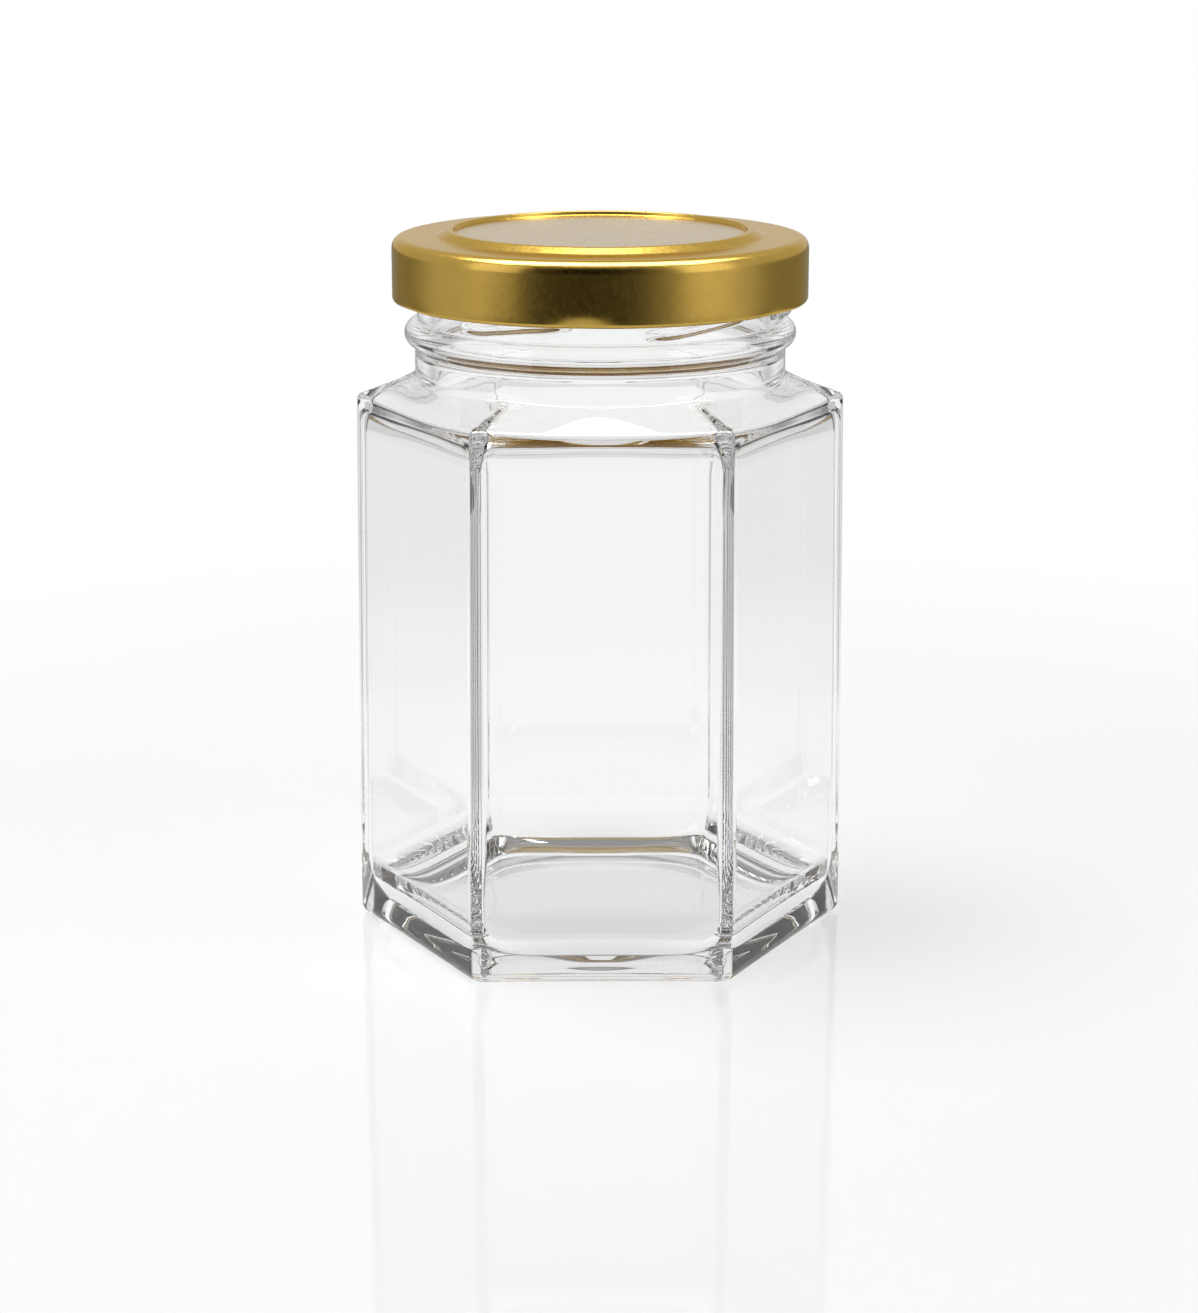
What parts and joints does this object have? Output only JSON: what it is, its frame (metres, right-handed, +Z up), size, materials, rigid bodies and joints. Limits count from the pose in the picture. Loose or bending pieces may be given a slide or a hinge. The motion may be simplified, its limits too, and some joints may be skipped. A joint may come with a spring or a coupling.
{
  "type": "hexagonal glass jar",
  "caption": "Clear hexagonal glass food jar, empty, with a round threaded mouth closed by a gold twist-off metal cap.",
  "frame": {"origin": "centre of the foot, on the surface that the jar stands on", "axes": "+Z up along the jar's axis; one flat side faces -Y and two upright corners lie on X"},
  "size_m": [0.08, 0.0698, 0.1143],
  "materials": {
    "clear_glass": "clear, smooth, fire-polished, very slight grey-green in thick places",
    "gold_lacquer": "satin gold lacquer on pressed tinplate"
  },
  "bodies": {
    "root": {"glass_jar": "clear_glass", "gold_cap": "gold_lacquer"}
  },
  "joints": []
}
